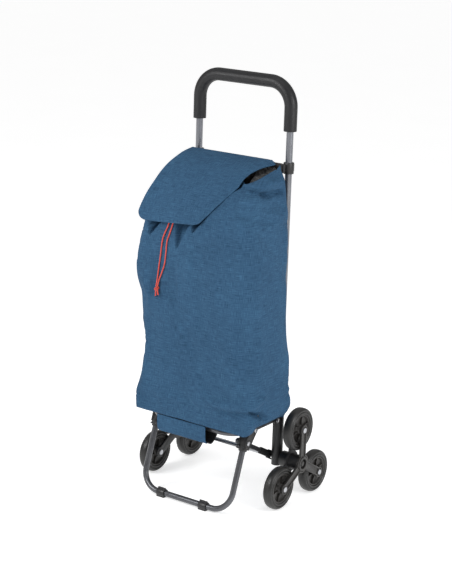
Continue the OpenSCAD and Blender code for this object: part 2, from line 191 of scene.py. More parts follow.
class Nodes:
    """A material's node tree, with short calls for the nodes used here."""

    def __init__(self, name, **shader):
        self.material = bpy.data.materials.new(name)
        self.material.use_nodes = True
        self.tree = self.material.node_tree
        self.shader = self.tree.nodes["Principled BSDF"]
        for key, value in shader.items():
            self.shader.inputs[key.replace("_", " ")].default_value = value

    def add(self, kind, inputs=(), **values):
        node = self.tree.nodes.new(kind)
        for key, value in values.items():
            setattr(node, key, value)
        for key, value in dict(inputs).items():
            if isinstance(value, bpy.types.NodeSocket):
                self.tree.links.new(value, node.inputs[key])
            else:
                node.inputs[key].default_value = value
        return node

    def place(self, scale=(1, 1, 1), uv=False):
        """Coordinates in metres, stretched by scale."""
        source = self.add("ShaderNodeUVMap" if uv else "ShaderNodeTexCoord")
        out = source.outputs["UV" if uv else "Object"]
        return self.add("ShaderNodeMapping", {"Vector": out, "Scale": scale}).outputs[0]

    def noise(self, place, scale, detail=3.0, rough=0.5):
        return self.add("ShaderNodeTexNoise", {
            "Vector": place, "Scale": scale, "Detail": detail,
            "Roughness": rough}).outputs["Fac"]

    def ramp(self, value, low, high, a=0.0, b=1.0):
        """Maps low..high onto a..b."""
        return self.add("ShaderNodeMapRange", {
            0: value, 1: low, 2: high, 3: a, 4: b}).outputs[0]

    def math(self, kind, a, b=0.0):
        return self.add("ShaderNodeMath", {0: a, 1: b}, operation=kind).outputs[0]

    def mix(self, factor, a, b):
        node = self.add("ShaderNodeMix", {0: factor, 6: a, 7: b}, data_type="RGBA")
        return node.outputs[2]

    def colour(self, value):
        self.tree.links.new(value, self.shader.inputs["Base Color"])

    def rough(self, value):
        self.tree.links.new(value, self.shader.inputs["Roughness"])

    def bump(self, height, distance):
        """Bump of this depth in metres."""
        node = self.add("ShaderNodeBump", {"Height": height, "Distance": distance})
        self.tree.links.new(node.outputs[0], self.shader.inputs["Normal"])


def plastic(name, dark, light, rough=0.45):
    """Moulded plastic with a fine spark-eroded grain and slight wear."""
    m = Nodes(name)
    here = m.place()
    cloud = m.noise(here, 35, 4)
    m.colour(m.mix(m.ramp(cloud, 0.35, 0.7), dark, light))
    m.rough(m.ramp(m.noise(here, 140, 3), 0.3, 0.75, rough - 0.07, rough + 0.1))
    m.bump(m.noise(here, 900, 2), 0.00006)
    return m.material


def lacquered_tube(name, dark, light, rough):
    """Steel tube under metallic lacquer: fine flakes and a faint orange peel."""
    m = Nodes(name, Metallic=0.82, Coat_Weight=0.25, Coat_Roughness=0.18)
    here = m.place()
    flakes = m.noise(here, 2600, 1)
    cloud = m.noise(here, 9, 3)
    tint = m.math("ADD", m.ramp(flakes, 0.35, 0.7, 0, 0.55), m.ramp(cloud, 0.3, 0.7, 0, 0.45))
    m.colour(m.mix(tint, dark, light))
    m.rough(m.ramp(m.noise(here, 60, 3), 0.3, 0.7, rough - 0.05, rough + 0.07))
    m.bump(m.noise(here, 420, 2), 0.00005)
    return m.material


def bright_steel(name):
    """Turned bright steel, brushed along the axle."""
    m = Nodes(name, Metallic=1.0)
    here = m.place((60, 900, 900))
    m.colour(m.mix(m.noise(here, 1.0, 3), srgb(150, 152, 156), srgb(205, 206, 210)))
    m.rough(m.ramp(m.noise(here, 0.6, 4), 0.3, 0.7, 0.2, 0.36))
    m.bump(m.noise(here, 1.0, 2), 0.00003)
    return m.material


def rubber(name, dark, light):
    """Tyre rubber, dusty in the hollows, with a faint moulding bloom."""
    m = Nodes(name)
    here = m.place()
    m.colour(m.mix(m.ramp(m.noise(here, 22, 5, 0.6), 0.35, 0.7), dark, light))
    m.rough(m.ramp(m.noise(here, 90, 4), 0.3, 0.7, 0.34, 0.48))
    m.bump(m.noise(here, 700, 3), 0.00012)
    return m.material


def foam(name):
    """Closed-cell foam: soft sheen and fine open pores."""
    m = Nodes(name, Specular_IOR_Level=0.38)
    here = m.place()
    pores = m.add("ShaderNodeTexVoronoi", {"Vector": here, "Scale": 1300.0}).outputs[0]
    m.colour(m.mix(m.ramp(m.noise(here, 40, 4), 0.3, 0.7), srgb(20, 20, 22), srgb(27, 27, 29)))
    m.rough(m.ramp(m.noise(here, 120, 3), 0.3, 0.7, 0.38, 0.5))
    m.bump(m.math("ADD", pores, m.noise(here, 300, 2)), 0.0001)
    return m.material


def woven_cloth(name, dark, mid, light):
    """Melange canvas: a plain weave whose warp and weft threads differ in shade."""
    m = Nodes(name, Roughness=0.92, Specular_IOR_Level=0.12)
    flat = m.place(uv=True)
    warp = m.noise(m.place((1300, 60, 1), uv=True), 1.0, 2)
    weft = m.noise(m.place((44, 1300, 1), uv=True), 1.0, 2)
    slub = m.noise(m.place((18, 520, 1), uv=True), 1.0, 2)
    cloud = m.noise(flat, 9, 4, 0.55)
    shade = m.math("ADD", m.math("MULTIPLY", warp, 0.36), m.math("MULTIPLY", weft, 0.4))
    shade = m.math("ADD", shade, m.math("MULTIPLY", slub, 0.12))
    shade = m.math("ADD", shade, m.math("MULTIPLY", cloud, 0.12))
    low = m.mix(m.ramp(shade, 0.37, 0.52), dark, mid)
    m.colour(m.mix(m.ramp(shade, 0.49, 0.66), low, light))
    u_wave = m.add("ShaderNodeTexWave", {
        "Vector": flat, "Scale": 230.0, "Distortion": 0.6}, bands_direction="X")
    v_wave = m.add("ShaderNodeTexWave", {
        "Vector": flat, "Scale": 230.0, "Distortion": 0.6}, bands_direction="Y")
    threads = m.math("MULTIPLY", u_wave.outputs["Fac"], v_wave.outputs["Fac"])
    threads = m.math("ADD", threads, m.math("ADD", warp, weft))
    m.bump(threads, 0.00022)
    return m.material


def plain_fabric(name, dark, light, rough, scale, depth, sheen=0.1):
    """Webbing, lining or hook tape: crossed threads at one scale."""
    m = Nodes(name, Sheen_Weight=sheen)
    here = m.place()
    threads = m.noise(here, scale, 2)
    m.colour(m.mix(m.ramp(threads, 0.35, 0.65), dark, light))
    m.rough(m.ramp(m.noise(here, scale / 8, 3), 0.3, 0.7, rough - 0.06, rough + 0.08))
    m.bump(threads, depth)
    return m.material


def braid(name):
    """Braided drawstring: fine diagonal strands."""
    m = Nodes(name, Roughness=0.6, Sheen_Weight=0.3)
    a = m.add("ShaderNodeTexWave", {"Vector": m.place((1, 1, 0.9)), "Scale": 330.0,
                                    "Distortion": 1.5}, bands_direction="DIAGONAL")
    b = m.add("ShaderNodeTexWave", {"Vector": m.place((-1, 1, 0.9)), "Scale": 330.0,
                                    "Distortion": 1.5}, bands_direction="DIAGONAL")
    strands = m.math("MULTIPLY", a.outputs["Fac"], b.outputs["Fac"])
    m.colour(m.mix(strands, srgb(190, 48, 34), srgb(240, 92, 62)))
    m.bump(strands, 0.00025)
    return m.material


TUBE = lacquered_tube("frame_tube", srgb(104, 106, 111), srgb(142, 144, 150), 0.3)
SMALL_TUBE = lacquered_tube("small_tube", srgb(72, 73, 76), srgb(108, 109, 113), 0.36)
BLACK = plastic("black_plastic", srgb(24, 24, 25), srgb(36, 36, 38))
STAR = plastic("star_plastic", srgb(34, 32, 31), srgb(48, 46, 44), rough=0.4)
RUBBER = rubber("tyre_rubber", srgb(24, 24, 23), srgb(36, 35, 34))
STEEL = bright_steel("bright_steel")
FOAM = foam("grip_foam")
CLOTH = woven_cloth("bag_cloth", srgb(37, 62, 87), srgb(51, 83, 112), srgb(68, 106, 137))
LINING = plain_fabric("lining", srgb(14, 14, 15), srgb(30, 30, 32), 0.42, 1500, 0.00006, 0.2)
WEBBING = plain_fabric("webbing", srgb(20, 20, 21), srgb(40, 40, 42), 0.7, 1100, 0.0003)
CORD = braid("drawstring")


# ------------------------------------------------------------- drawstrings

CORD_D = 3.0
# The same routes as the CAD's cords: (x, fwd, z)
LEFT_ROUTE = [(-55, 187.7, 697), (-55.6, 190, 694), (-58, 192, 684), (-63, 194, 662),
              (-70, 196, 645), (-76, 198, 626), (-80, 199, 590), (-84, 199.5, 560),
              (-88, 199.5, 530), (-91, 199.5, 515)]
RIGHT_ROUTE = [(-45, 187.7, 697), (-45.6, 190, 694), (-47.5, 192, 684), (-52, 194, 662),
               (-58, 196, 642), (-63, 198, 624), (-65, 199, 594), (-68, 199.5, 570),
               (-76, 199.5, 547), (-83, 199.5, 530), (-87, 199.5, 515)]
KNOT = (-89, 199.5, 508.5)


def knot_piece():
    """An overhand knot with two frayed tails, as one piece."""
    size = 1.75             # radius of the trefoil's inner turns, mm
    turns = []
    for i in range(72):
        t = 2 * math.pi * i / 72
        turns.append(at(KNOT[0] + size * (math.cos(t) - 2 * math.cos(2 * t)),
                        KNOT[1] + 2.0 * math.sin(3 * t) - 0.4,
                        KNOT[2] + 1.15 * size * (math.sin(t) + 2 * math.sin(2 * t))))
    parts = [sweep("drawstring_knot_piece", turns, CORD_D * 0.5 * MM, 10, CORD, closed=True)]
    for side, drop in ((-1, 17), (1, 14)):
        tail = smooth_line([at(KNOT[0] + side * x, KNOT[1] + y, KNOT[2] - z)
                            for x, y, z in ((1.5, 0, 3), (3, -0.3, 8), (3.6 + side, 0, drop))], 6)
        parts.append(sweep("tail", tail, lambda t: (1.4 + 0.5 * t) * MM, 10, CORD))
    return joined(parts)


def joined(parts):
    """One piece of several meshes, with the first one's name."""
    work = bmesh.new()
    slots = []
    for part in parts:
        start = len(work.faces)
        work.from_mesh(part.data)
        work.faces.ensure_lookup_table()
        for face in work.faces[start:]:
            material = part.data.materials[face.material_index] if part.data.materials else None
            if material not in slots:
                slots.append(material)
            face.material_index = slots.index(material)
    mesh = bpy.data.meshes.new(parts[0].name)
    work.to_mesh(mesh)
    work.free()
    for material in slots:
        mesh.materials.append(material)
    first = parts[0]
    first.data = mesh
    for part in parts[1:]:
        bpy.data.objects.remove(part)
    return first


def make_drawstring():
    """Two strands from the eyelets to the knot that ties them. Returns the three pieces."""
    knot = knot_piece()
    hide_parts("drawstring_knot")
    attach(knot, "frame")
    pieces = [knot]
    for name, route in (("drawstring_left", LEFT_ROUTE), ("drawstring_right", RIGHT_ROUTE)):
        line = smooth_line([at(*p) for p in route], 6)
        strand = sweep(name + "_strand", line, CORD_D / 2 * MM, 12, CORD)
        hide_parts(name)
        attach(strand, "frame")
        pieces.append(strand)
    return pieces


# ------------------------------------------------------------ hard details

BEVEL_FROM = 32             # edges sharper than this are rounded, in degrees


def bevelled(node, material, width):
    """A copy of a CAD node with its edges rounded by width mm, which stands for the node."""
    piece = bpy.data.objects.new(node + "_detail", NODES[node].data.copy())
    SCENE.collection.objects.link(piece)
    work = bmesh.new()
    work.from_mesh(piece.data)
    bmesh.ops.remove_doubles(work, verts=work.verts, dist=1e-6)
    bmesh.ops.dissolve_limit(work, angle_limit=math.radians(1.0), verts=work.verts,
                             edges=work.edges, delimit={"NORMAL"})
    work.to_mesh(piece.data)
    work.free()
    piece.data.materials.clear()
    piece.data.materials.append(material)
    modified(piece, "BEVEL", width=width * MM, segments=2, limit_method="ANGLE",
             angle_limit=math.radians(BEVEL_FROM))
    piece.data.polygons.foreach_set("use_smooth", [True] * len(piece.data.polygons))
    sharp_edges(piece, 40)
    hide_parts(node)
    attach(piece, body_name(node))
    return piece


def sharp_edges(piece, degrees):
    """Marks edges over an angle sharp, so that smooth shading stays off flats."""
    work = bmesh.new()
    work.from_mesh(piece.data)
    for edge in work.edges:
        if len(edge.link_faces) == 2:
            edge.smooth = edge.calc_face_angle(0) < math.radians(degrees)
    work.to_mesh(piece.data)
    work.free()


def body_name(node):
    """The body that a CAD node belongs to."""
    return next(b for b, group in frame["record"]["behaviour"]["bodies"].items() if node in group)


def lathe(name, section, centre, side, sides, material):
    """A closed section of (radius, outward offset) in mm, turned about an axle along X."""
    points, faces = [], []
    n = len(section)
    for i in range(sides):
        a = 2 * math.pi * i / sides
        for r, w in section:
            points.append((centre[0] + side * w * MM, centre[1] + r * MM * math.cos(a),
                           centre[2] + r * MM * math.sin(a)))
    for i in range(sides):
        j = (i + 1) % sides
        for k in range(n):
            m = (k + 1) % n
            faces.append((i * n + k, i * n + m, j * n + m, j * n + k))
    return add_mesh(name, points, faces, material)


def middle(node):
    """The middle of a CAD node's box, in metres."""
    low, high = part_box(node)
    return [(a + b) / 2 for a, b in zip(low, high)]


def tyre_outline():
    """Half section of a tyre, from its seat out to the middle of the tread."""
    half = [(36, 8.0), (36.6, 10.2), (38.2, 11.2), (40.4, 11.2), (41.4, 10.3), (41.9, 9.3),
            (43.1, 9.3), (43.7, 10.4), (44.6, 11.3), (46.4, 11.2), (48.2, 10.2), (49.8, 8.4),
            (50.7, 6.2), (51.1, 3.6), (51.15, 0.8), (51.25, 0.35)]
    return half + [(r, -w) for r, w in reversed(half)]


def rim_outline():
    """Section of a rim: barrel under the tyre, thin web, and hub on the bolt."""
    half = [(4.1, 11.5), (10.2, 11.5), (11.2, 10.8), (12.0, 4.5), (14.0, 2.6), (29.5, 2.2),
            (31.5, 4.0), (32.2, 8.6), (33.0, 9.5), (35.2, 9.5), (35.95, 8.7), (35.95, 0.5)]
    return half + [(r, -w) for r, w in reversed(half)]


def rim_ribs(name, centre, material):
    """Six ribs on both faces of the web, from the hub to the barrel."""
    points, faces = [], []
    for face in (-1, 1):
        for i in range(6):
            a = math.radians(60 * i + 15)
            c, s = math.cos(a), math.sin(a)
            base = len(points)
            for r, h in ((10.5, 9.0), (22, 6.4), (32.6, 7.4)):
                for t, w in ((-1.3, 1.8), (-0.8, h), (0.8, h), (1.3, 1.8)):
                    points.append((centre[0] + face * w * MM,
                                   centre[1] + (r * c - t * s) * MM,
                                   centre[2] + (r * s + t * c) * MM))
            for q in range(2):
                for k in range(4):
                    m = (k + 1) % 4
                    faces.append((base + 4 * q + k, base + 4 * q + m,
                                  base + 4 * q + 4 + m, base + 4 * q + 4 + k))
            faces.append(tuple(base + k for k in range(4)))
            faces.append(tuple(base + 8 + k for k in range(4)))
    return add_mesh(name, points, faces, material, smooth=False)


def make_wheels():
    """A grooved tyre on a ribbed rim for each of the six wheels."""
    for side_name, side in (("left", -1), ("right", 1)):
        for which in ("top", "front", "rear"):
            body = f"wheel_{side_name}_{which}"
            tyre_node, rim_node = f"tyre_{side_name}_{which}", f"rim_{side_name}_{which}"
            centre = middle(tyre_node)
            tyre = lathe(tyre_node + "_ridged", tyre_outline(), centre, side, 96, RUBBER)
            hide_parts(tyre_node)
            rim = joined([lathe(rim_node + "_ribbed", rim_outline(), centre, side, 72, STAR),
                          rim_ribs("ribs", centre, STAR)])
            sharp_edges(rim, 50)
            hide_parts(rim_node)
            for piece in (tyre, rim):
                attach(piece, body)


PAINTS = {"frame_tube": TUBE, "handle_grip": FOAM, "platform_tube": SMALL_TUBE,
          "leg_tube": SMALL_TUBE, "main_axle": STEEL, "tie_rod": SMALL_TUBE}


def repaint():
    """Gives every CAD node that stays its finished material."""
    for node, material in PAINTS.items():
        mesh = NODES[node].data
        mesh.materials.clear()
        mesh.materials.append(material)


# How each node with rounded edges is finished: the start of its name, its material, and the
# width of the rounding in mm
FINISHES = [("lower_sleeve", BLACK, 0.7), ("top_clamp", BLACK, 0.7),
            ("corner_bracket", BLACK, 0.7), ("foot_clip", BLACK, 0.7), ("strut_end", BLACK, 0.7),
            ("star_inner", BLACK, 0.6), ("star_outer", STAR, 0.6), ("axle_nuts", STAR, 0.6),
            ("strut_left", SMALL_TUBE, 1.2), ("strut_right", SMALL_TUBE, 1.2),
            ("platform_pins", STEEL, 0.8), ("leg_hinge_pins", STEEL, 0.8),
            ("strut_pins", STEEL, 0.8), ("star_bolts", STEEL, 0.8)]


def make_hard_parts():
    repaint()
    for node in NODES:
        for start, material, width in FINISHES:
            if node.startswith(start):
                bevelled(node, material, width)
        if node == "drawstring_eyelets":
            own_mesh(bevelled(node, STEEL, 0.25))
    make_wheels()


# --------------------------------------------------------------------- bag

class Curve:
    """A smooth curve through values at ascending keys, level beyond its ends."""

    def __init__(self, keys, values):
        self.keys = [float(k) for k in keys]
        self.values = [float(v) for v in values]
        self.slopes = [float(v) for v in np.gradient(self.values, self.keys)]

    def __call__(self, x):
        x = min(max(x, self.keys[0]), self.keys[-1])
        i = min(bisect.bisect_right(self.keys, x) - 1, len(self.keys) - 2)
        h = self.keys[i + 1] - self.keys[i]
        t = (x - self.keys[i]) / h
        a, b = self.values[i], self.values[i + 1]
        return (a + (b - a) * t * t * (3 - 2 * t)
                + h * t * (1 - t) * ((1 - t) * self.slopes[i] - t * self.slopes[i + 1]))


# Outline of the bag at some heights: its four sides, and its front and rear corner radii
HEIGHTS = [200, 230, 280, 330, 375, 420, 480, 560, 640, 680, 700, 730, 760, 785, 806]
BAG_LEFT = Curve(HEIGHTS, [-156, -155, -151, -147, -145, -151, -159, -165, -151, -141, -137,
                           -132, -129, -127, -125])
BAG_RIGHT = Curve(HEIGHTS, [168, 177, 178, 173, 170, 165, 162, 161, 157, 152, 149, 144, 140,
                            135, 131])
BAG_FRONT = Curve(HEIGHTS, [193, 195, 193, 191, 190, 191, 194, 196, 195, 193, 190, 171, 142,
                            106, 60])
BAG_REAR = Curve([200, 230, 806], [24, 22, 22])
FRONT_R = Curve([200, 240, 400, 560, 700, 806], [10, 18, 30, 34, 34, 26])
REAR_R = Curve([200, 240, 400, 700, 806], [12, 12, 15, 18, 16])
# Height of the bag's rim: along a side by fwd, and round the front by x
RIM = Curve([20, 60, 90, 106, 140], [804, 804, 797, 790, 774])
FRONT_RIM = Curve([50, 88, 100, 112, 122, 130, 137], [784, 770, 771, 775, 782, 791, 800])
CORD_FWD = Curve([490, 560, 626, 662, 684, 697], [199.5, 199.5, 198, 194, 192, 187.7])
# Side outline of the flap
FLAP_FWD = [19, 60, 107, 143, 173, 193, 201, 202]
FLAP_Z = [809, 803, 785, 761, 730, 700, 680, 663]
FLAP_AT = Curve(FLAP_FWD[:-1], FLAP_Z[:-1])


def ring_columns():
    """Where each column of the bag's wall sits on the rounded outline."""
    columns = []
    for edge, corner, n in (("rear", 0, 40), ("left", 1, 34), ("front", 2, 76), ("right", 3, 34)):
        columns += [(edge, k / n, 0) for k in range(n)]
        columns += [("corner", corner, k / 8) for k in range(8)]
    return columns


def outline_point(column, z):
    """(x, fwd) of a column at height z, and its outward direction."""
    left, right, front, rear = BAG_LEFT(z), BAG_RIGHT(z), BAG_FRONT(z), BAG_REAR(z)
    rf, rr = min(FRONT_R(z), (front - rear) * 0.45), min(REAR_R(z), (front - rear) * 0.45)
    edge, t, part = column
    if edge == "corner":
        r = (rr, rf, rf, rr)[t]
        cx = (left + r, left + r, right - r, right - r)[t]
        cf = (rear + r, front - r, front - r, rear + r)[t]
        a = math.radians(-90 - 90 * (t + part))
        return cx + r * math.cos(a), cf + r * math.sin(a), math.cos(a), math.sin(a)
    if edge == "rear":
        return right - rr + t * (left - right + 2 * rr), rear, 0, -1
    if edge == "left":
        return left, rear + rr + t * (front - rear - rr - rf), -1, 0
    if edge == "front":
        return left + rf + t * (right - left - 2 * rf), front, 0, 1
    return right, front - rf + t * (rear - front + rr + rf), 1, 0


def lumps(x, y, z, scale, seed):
    """Soft noise in -1..1 at a feature size of scale millimetres."""
    return noise.noise(Vector((x / scale + seed, y / scale - seed, z / scale + 2 * seed)))


def bell(x, centre, width):
    """1 at centre, falling off to both sides over width."""
    return math.exp(-((x - centre) / width) ** 2)


def crease(x, z, a, b, width, fade=18):
    """1 on the line from a to b, falling off across it and past its ends."""
    ax, az, bx, bz = *a, *b
    length = math.dist(a, b)
    ux, uz = (bx - ax) / length, (bz - az) / length
    along = (x - ax) * ux + (z - az) * uz
    across = (x - ax) * uz - (z - az) * ux
    past = max(0.0, -along, along - length)
    return math.exp(-(across / width) ** 2 - (past / fade) ** 2)


def wedge(x, z, a, b, tip):
    """1 along the upper side a-b of a triangle, down to 0 at its tip and its two sides."""
    area = (a[0] - tip[0]) * (b[1] - tip[1]) - (b[0] - tip[0]) * (a[1] - tip[1])
    p = ((x - tip[0]) * (b[1] - tip[1]) - (b[0] - tip[0]) * (z - tip[1])) / area
    q = ((a[0] - tip[0]) * (z - tip[1]) - (x - tip[0]) * (a[1] - tip[1])) / area
    if p <= 0 or q <= 0:
        return 0.0
    return min(1.0, p + q) ** 0.7 * min(1.0, 8 * p / (p + q), 3 * q / (p + q))


def front_relief(x, z):
    """Folds of the front: pleats under the flap, long waves, and the lower right fold."""
    d = 0.0
    # pleats that the drawstring gathers, open at the top under the flap
    d -= 46 * wedge(x, z, (-125, 680), (-72, 684), (-117, 628))
    d -= 30 * wedge(x, z, (-54, 684), (6, 690), (-38, 608))
    d -= 44 * wedge(x, z, (-2, 696), (46, 704), (6, 653))
    d += 2.5 * crease(x, z, (-66, 690), (-66, 645), 9, 24)
    d -= 2.2 * crease(x, z, (-117, 627), (-98, 585), 6, 26)
    d -= 2.0 * crease(x, z, (-38, 606), (-46, 540), 7, 30)
    d += 2.4 * crease(x, z, (14, 648), (2, 560), 14, 40)
    # long soft waves
    d += 4.0 * crease(x, z, (60, 600), (120, 330), 24, 60)
    d -= 4.4 * crease(x, z, (112, 690), (150, 420), 15, 60)
    d -= 2.8 * crease(x, z, (-104, 560), (-88, 330), 14, 60)
    d += 3.2 * crease(x, z, (-96, 480), (-70, 260), 20, 60)
    d -= 3.2 * crease(x, z, (10, 640), (40, 480), 12, 50)
    d -= 2.6 * crease(x, z, (-20, 460), (60, 300), 13, 60)
    # the fold above the lower right corner
    d += 6.5 * crease(x, z, (84, 271), (154, 279), 8, 22)
    d -= 5.0 * crease(x, z, (104, 251), (160, 258), 7, 16)
    # the rolled rim beside the flap
    d += 6.0 * crease(x, z, (94, 782), (128, 774), 8, 12)
    d -= 13.0 * crease(x, z, (86, 763), (128, 755), 5.5, 8)
    d += 3.0 * crease(x, z, (96, 742), (140, 736), 9, 14)
    return d


def right_relief(f, z):
    """Folds of the right side: a slack roll under the rim, and the notch over the foot."""
    d = 8.5 * crease(f, z, (120, 773), (56, 772), 10, 22)
    d -= 13.0 * crease(f, z, (146, 756), (104, 748), 5.5, 10)
    d -= 12.0 * crease(f, z, (104, 748), (56, 748), 6, 14)
    d += 6.0 * crease(f, z, (188, 281), (150, 291), 8, 14)
    d -= 17.0 * crease(f, z, (184, 262), (142, 245), 4.5, 6)
    d -= 14.0 * crease(f, z, (140, 244), (118, 229), 5.5, 6)
    d += 6.0 * crease(f, z, (184, 236), (152, 230), 9, 12)
    return d


def side_relief(f, z):
    """Long waves that both sides share."""
    d = 3.0 * math.sin(math.pi * min(1, max(0, (f - 20) / 175)))
    d += 2.6 * crease(f, z, (150, 720), (60, 700), 16, 40)
    d -= 2.6 * crease(f, z, (170, 690), (40, 560), 13, 60)
    d += 2.2 * crease(f, z, (170, 520), (60, 380), 20, 60)
    d -= 2.4 * crease(f, z, (60, 640), (50, 320), 10, 60)
    return d


def bag_relief(x, fwd, z, ox, of):
    """How far the cloth stands in or out, in mm, at a point of the wall."""
    d = 3.0 * lumps(x, fwd, z * 0.6, 110, 3) + 1.6 * lumps(x, fwd, z * 0.7, 42, 8)
    if of > 0:
        d += of * front_relief(x, z)
        d += 2.5 * of * math.cos(math.pi * (x - 4) / 330) * bell(z, 400, 220)
    if ox:
        d += abs(ox) * side_relief(fwd, z)
    if ox > 0:
        d += ox * right_relief(fwd, z)
    return d


def tuck(z, ox, fwd):
    """How far the foot of the wall turns in under the bag's overhanging sides."""
    rise = min(1.0, max(0.0, (246 - z) / 42))
    share = abs(ox)
    if ox > 0:
        share *= min(1.0, max(0.1, (168 - fwd) / 30))
    elif fwd > 120:
        share *= max(0.12, 1 - (fwd - 120) / 50)
    return 31 * (1 - math.sqrt(1 - rise * rise)) * share


def rim_height(x, f):
    """Height of the bag's rim, where x and f are its place at mouth level."""
    rim = RIM(f)
    if x > 50 and f > 80:
        rim = min(rim, FRONT_RIM(x))
    if x > 104 and f < 58:
        rim -= 50 * ((58 - f) / 38) ** 2 * min(1.0, (x - 104) / 22)
    return rim + 1.5 * lumps(x, f, 0, 16, 4)


# Heights of the wall's rows as shares of its height: close together at both ends
BAG_LEVELS = ([0.155 * k / 26 for k in range(26)]
              + [0.155 + 0.515 * k / 46 for k in range(46)]
              + [0.67 + 0.33 * k / 54 for k in range(55)])
BAG_ROWS = len(BAG_LEVELS)
FOOT_Z = 206                # height of the wall's bottom edge
FLOOR_Z = 204.5             # height of the bag's floor on the platform
MIDDLE_Z = 500              # height at which the wall's UVs are measured round
MOUTH_Z = 784               # height at which the rim's shape is read


def bag_wall():
    """Points of the bag's wall: rows from its bottom edge to its rim, and the UV places."""
    columns = ring_columns()
    n = len(columns)
    level = [outline_point(column, MIDDLE_Z) for column in columns]
    along = [0.0]
    for a, b in zip(level, level[1:]):
        along.append(along[-1] + math.hypot(a[0] - b[0], a[1] - b[1]))
    points, places = [], []
    rims = [rim_height(*outline_point(column, MOUTH_Z)[:2]) for column in columns]
    for v in BAG_LEVELS:
        for k, column in enumerate(columns):
            low = FOOT_Z + 1.5 * lumps(level[k][0], level[k][1], 0, 40, 6)
            if level[k][2] > 0.3:       # the right side lifts at the rear and over its notch
                low += 9 * max(0.0, 1 - level[k][1] / 60) + 26 * bell(level[k][1], 132, 11)
            z = low + v * (rims[k] - low)
            x, f, ox, of = outline_point(column, z)
            d = bag_relief(x, f, z, ox, of) * min(1.0, 16 * (1 - v) + 0.3) * min(1.0, 16 * v + 0.2)
            x, f = x + ox * d, f + of * d
            x -= math.copysign(tuck(z, ox, f), ox) if ox else 0
            points.append(Vector((x, behind_cords(x, f, z), z)))
            places.append((along[k] * MM, z * MM))
    return points, places, n


CORDS_X = (-112, -26)       # the drawstrings lie on the front of the bag between these x
CORDS_Z = (486, 702)        # and these heights
KNOT_TOP = 530              # below this the knot needs more room than a strand


def behind_cords(x, f, z):
    """Keeps the front of the bag behind the drawstring that lies on it."""
    if not (CORDS_Z[0] <= z <= CORDS_Z[1] and CORDS_X[0] <= x <= CORDS_X[1] and f >= 150):
        return f
    near = min(1.0, (x - CORDS_X[0]) / 12, (CORDS_X[1] - x) / 12)
    limit = CORD_FWD(z) - (2.4 if z > KNOT_TOP else 5.2)
    return f if f < limit else f + (limit - f) * max(0.0, near)


def bag_mesh():
    """The bag's wall and floor as one sheet, with the wall's UVs in metres."""
    points, places, n = bag_wall()
    faces = []
    for row in range(BAG_ROWS - 1):
        for k in range(n):
            m = (k + 1) % n
            faces.append((row * n + k, row * n + m, (row + 1) * n + m, (row + 1) * n + k))
    # floor: rings that shrink towards the middle and level out on the platform
    centre = Vector((4, 108, FLOOR_Z))
    start = len(points)
    steps = 7
    for step in range(1, steps + 1):
        s = (1 - step / (steps + 0.6))
        for k in range(n):
            p = points[k]
            q = centre + (p - centre) * s
            q.z = FLOOR_Z + (p.z - FLOOR_Z) * max(0.0, (s - 0.72) / 0.28) ** 1.5
            points.append(q)
            places.append((q.x * MM, q.y * MM))
    before = 0
    for step in range(steps):
        this = start + step * n
        for k in range(n):
            m = (k + 1) % n
            faces.append((this + k, this + m, before + m, before + k))
        before = this
    faces.append(tuple(before + k for k in range(n)))
    return [at(p.x, p.y, p.z) for p in points], places, faces, n


TURN = 0.955                # length of the seam-to-seam turn in the wall's UVs, metres


def set_flat_uv(piece, places):
    """Gives each vertex its place in the flat cloth, in metres, for the weave."""
    layer = piece.data.uv_layers.new(name="cloth")
    for loop in piece.data.loops:
        layer.data[loop.index].uv = places[loop.vertex_index]
    return layer


def set_wall_uv(piece, places):
    """As set_flat_uv, and keeps the faces that close the turn from running backwards."""
    layer = set_flat_uv(piece, places)
    for face in piece.data.polygons:
        us = [layer.data[i].uv.x for i in face.loop_indices]
        if max(us) - min(us) > TURN / 3:
            for i in face.loop_indices:
                if layer.data[i].uv.x < TURN / 3:
                    layer.data[i].uv.x += TURN


SETTLE_FRAMES = 18
SETTLE_STRETCH = 0.022      # share by which the cloth is larger than its shape
SETTLE_CAP = 5.0            # furthest that a point may move, mm


def settle(piece, pinned):
    """Lets the cloth fill out and wrinkle: pinned holds a weight per vertex."""
    group = piece.vertex_groups.new(name="pin")
    for i, w in enumerate(pinned):
        if w > 0:
            group.add([i], w, "REPLACE")
    modifier = piece.modifiers.new("cloth", "CLOTH")
    s = modifier.settings
    s.quality = 5
    s.mass = 0.25
    s.tension_stiffness = s.compression_stiffness = 12
    s.shear_stiffness = 5
    s.bending_stiffness = 0.6
    s.vertex_group_mass = "pin"
    s.shrink_min = s.shrink_max = -SETTLE_STRETCH
    s.use_pressure = True
    s.uniform_pressure_force = 1.5
    s.effector_weights.gravity = 0
    modifier.collision_settings.use_collision = False
    rest = [v.co.copy() for v in piece.data.vertices]
    for step in range(1, SETTLE_FRAMES + 1):
        SCENE.frame_set(step)
    shaped = piece.evaluated_get(bpy.context.evaluated_depsgraph_get()).data
    moved = [v.co.copy() for v in shaped.vertices]
    piece.modifiers.clear()
    piece.vertex_groups.clear()
    SCENE.frame_set(1)
    for vertex, a, b in zip(piece.data.vertices, rest, moved):
        move = b - a
        limit = SETTLE_CAP * MM
        if move.length > limit:
            move *= limit / move.length
        vertex.co = a + move
    piece.data.update()


def soft(piece, body, node):
    """Attaches a soft piece to the body it rides on, and hides the CAD node that it stands for."""
    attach(piece, body)
    if node:
        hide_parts(node)
    if body in ("frame", "flap"):
        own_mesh(piece)
    return piece


